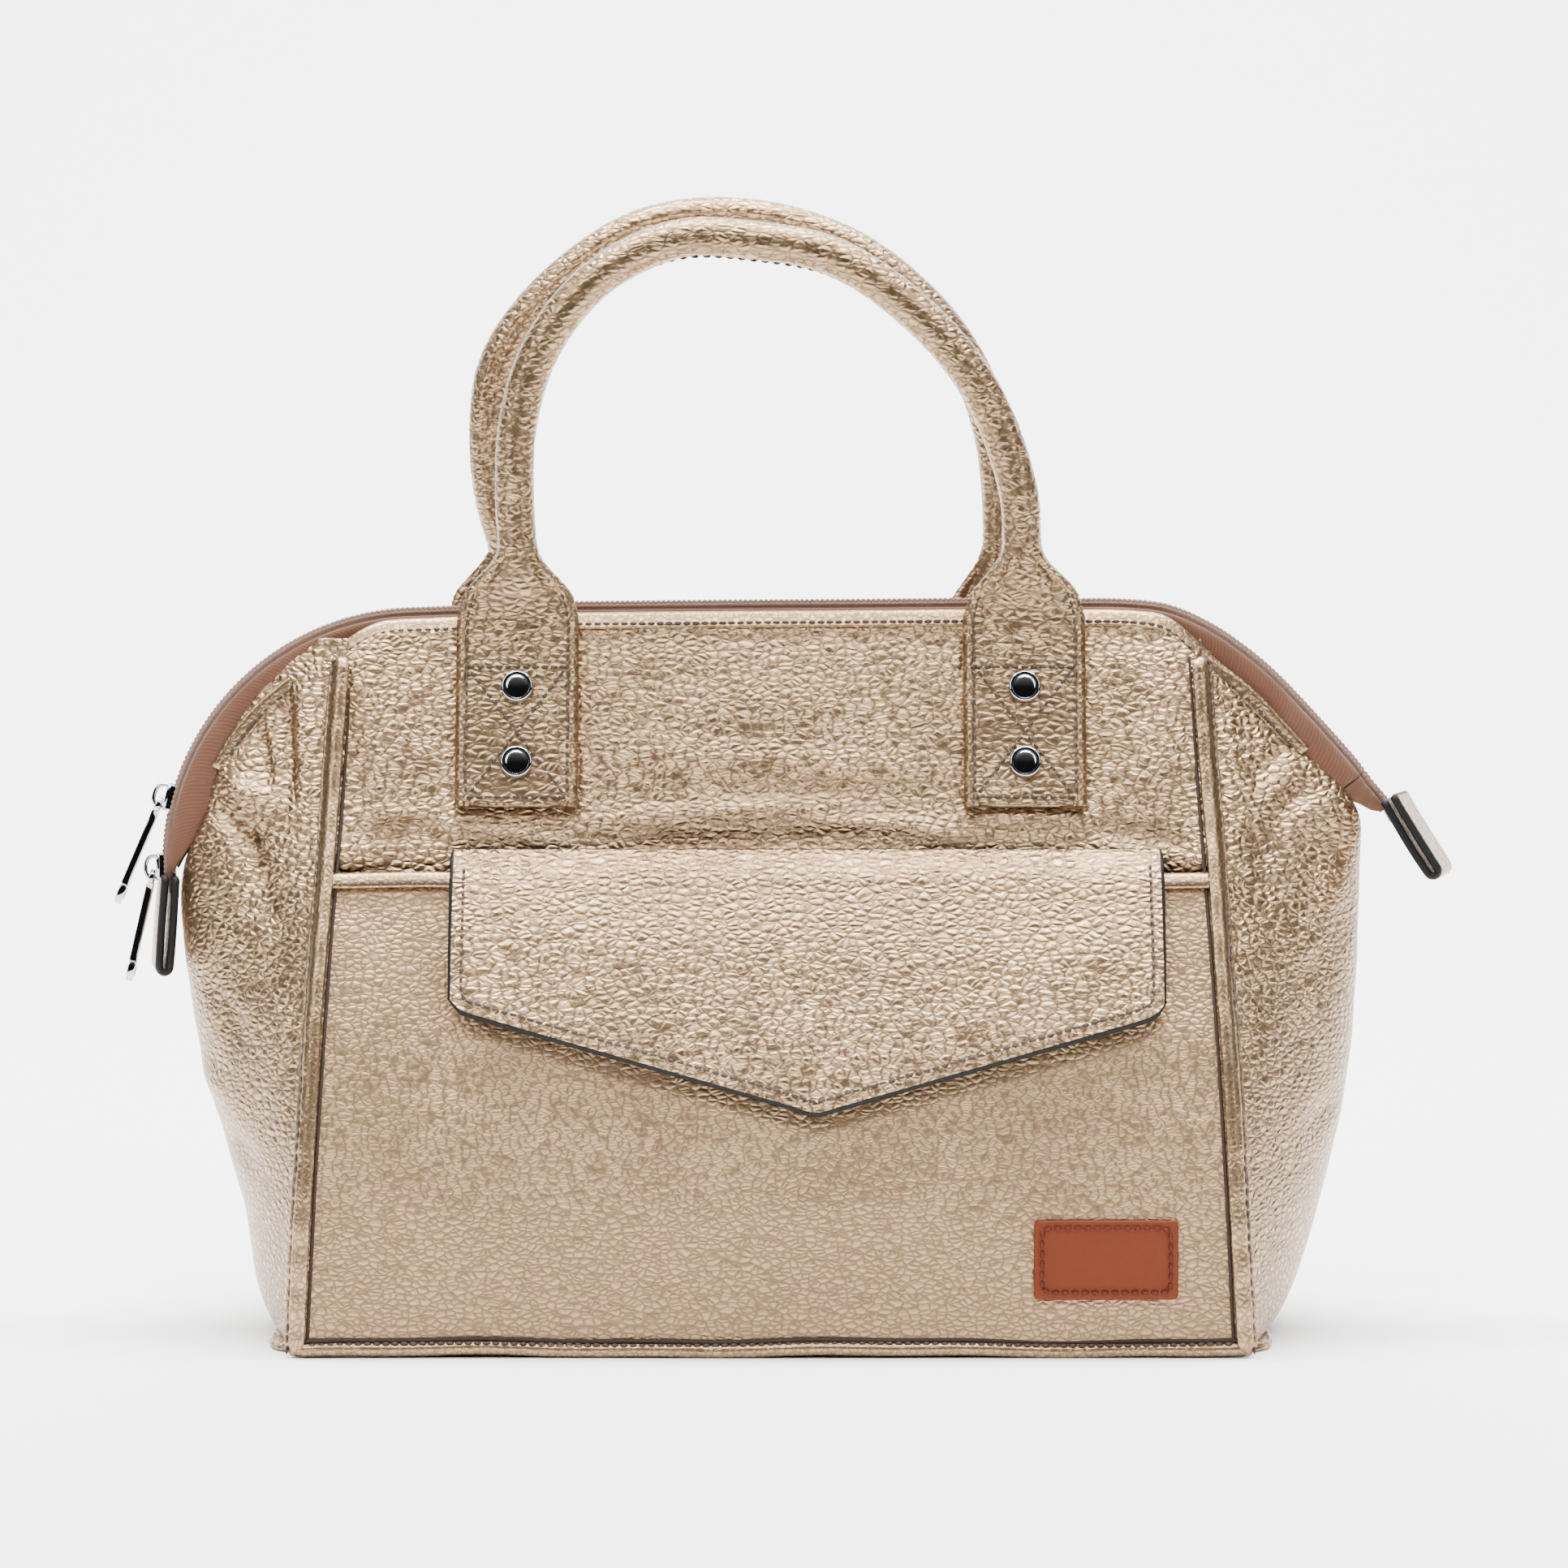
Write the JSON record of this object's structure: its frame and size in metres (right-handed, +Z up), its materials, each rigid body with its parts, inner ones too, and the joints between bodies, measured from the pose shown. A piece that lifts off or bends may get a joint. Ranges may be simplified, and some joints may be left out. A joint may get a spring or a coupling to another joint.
{
  "type": "top handle bag",
  "caption": "Small framed top handle bag in metallic pebbled leather with a zip mouth, rolled handles, side gussets and a flap pocket on the front",
  "frame": {"origin": "middle of the flat underside of the base, in the plane that the bag stands on", "axes": "+X to the right as the front with the flap is seen, -Y out of the front, +Z up"},
  "size_m": [0.3905, 0.1306, 0.3315],
  "materials": {
    "gold_leather": "metallic champagne pebbled, semi-gloss",
    "gold_edge": "metallic champagne, folded edge",
    "tan_leather": "smooth tan, satin",
    "twill": "brown twill",
    "coil_nylon": "brown nylon",
    "nickel": "polished nickel plate",
    "steel": "plain steel",
    "lining_cloth": "woven polyester",
    "board": "pressed board",
    "cord_core": "twisted cotton cord"
  },
  "bodies": {
    "bag_body": {"base_panel": "gold_edge", "base_board": "board", "front_panel": "gold_leather", "back_panel": "gold_leather", "gusset_left": "gold_leather", "gusset_right": "gold_leather", "piping_front": "gold_leather", "piping_back": "gold_leather", "piping_base": "gold_leather", "pocket_panel": "gold_leather", "pocket_seams": "gold_edge", "pocket_binding": "gold_edge", "pocket_magnet": "steel", "patch": "tan_leather", "flap_strip": "gold_edge", "lining": "lining_cloth", "frame_stays": "lining_cloth", "frame_pins": "steel", "tail_facing_left": "twill", "tail_facing_right": "twill", "tail_tape_left": "twill", "tail_coil_left": "coil_nylon", "tail_tab_left": "gold_leather"},
    "front_mouth": {"front_top_panel": "gold_leather", "front_gusset_tops": "gold_leather", "front_piping_tops": "gold_leather", "front_trim": "gold_edge", "front_facing": "twill", "front_tape": "twill", "front_coil": "coil_nylon", "front_frame": "steel", "front_tabs": "gold_leather", "front_tab_backings": "board", "front_rivets": "nickel", "front_rivet_washers": "nickel"},
    "back_mouth": {"back_top_panel": "gold_leather", "back_gusset_tops": "gold_leather", "back_piping_tops": "gold_leather", "back_trim": "gold_edge", "back_facing": "twill", "back_tape": "twill", "back_coil": "coil_nylon", "back_frame": "steel", "back_tabs": "gold_leather", "back_tab_backings": "board", "back_rivets": "nickel", "back_rivet_washers": "nickel"},
    "front_handle_body": {"front_handle": "gold_leather", "front_handle_core": "cord_core"},
    "back_handle_body": {"back_handle": "gold_leather", "back_handle_core": "cord_core"},
    "flap": {"flap_outer": "gold_leather", "flap_lining": "gold_edge", "flap_magnet": "steel"},
    "upper_slider": {"slider_upper": "nickel"},
    "lower_slider": {"slider_lower": "nickel"},
    "upper_pull": {"pull_upper": "nickel"},
    "lower_pull": {"pull_lower": "nickel"},
    "right_zip_end": {"tail_tape_right": "twill", "tail_tab_right": "gold_leather"}
  },
  "joints": [
    {"name": "front_mouth_hinge", "type": "hinge", "parent": "bag_body", "child": "front_mouth", "pos_m": [0, 0, 0.16], "axis": [1, 0, 0], "range_deg": [0, 30]},
    {"name": "back_mouth_hinge", "type": "hinge", "parent": "bag_body", "child": "back_mouth", "pos_m": [0, 0, 0.16], "axis": [-1, 0, 0], "range_deg": [0, 30]},
    {"name": "front_handle_hinge", "type": "hinge", "parent": "front_mouth", "child": "front_handle_body", "pos_m": [0, -0.012, 0.2126], "axis": [1, 0, 0], "range_deg": [-2.5, 60]},
    {"name": "back_handle_hinge", "type": "hinge", "parent": "back_mouth", "child": "back_handle_body", "pos_m": [0, 0.012, 0.2126], "axis": [-1, 0, 0], "range_deg": [-2.5, 60]},
    {"name": "flap_hinge", "type": "hinge", "parent": "bag_body", "child": "flap", "pos_m": [0, -0.03303, 0.1408], "axis": [-1, 0, 0], "range_deg": [0, 105]},
    {"name": "upper_slider_travel", "type": "hinge", "parent": "bag_body", "child": "upper_slider", "pos_m": [-0.10319, 0, 0.136], "axis": [0, -1, 0], "range_deg": [-68, 0]},
    {"name": "lower_slider_travel", "type": "hinge", "parent": "bag_body", "child": "lower_slider", "pos_m": [-0.10319, 0, 0.136], "axis": [0, -1, 0], "range_deg": [-1.5, 0]},
    {"name": "upper_pull_swing", "type": "hinge", "parent": "upper_slider", "child": "upper_pull", "pos_m": [-0.17909, 0, 0.15489], "axis": [0, 1, 0], "range_deg": [-3, 75]},
    {"name": "lower_pull_swing", "type": "hinge", "parent": "lower_slider", "child": "lower_pull", "pos_m": [-0.18137, 0, 0.13378], "axis": [0, 1, 0], "range_deg": [-2, 16]},
    {"name": "right_zip_end_bend", "type": "hinge", "parent": "bag_body", "child": "right_zip_end", "pos_m": [0.1745, 0, 0.1595], "axis": [0, -1, 0], "range_deg": [-4, 50]}
  ]
}
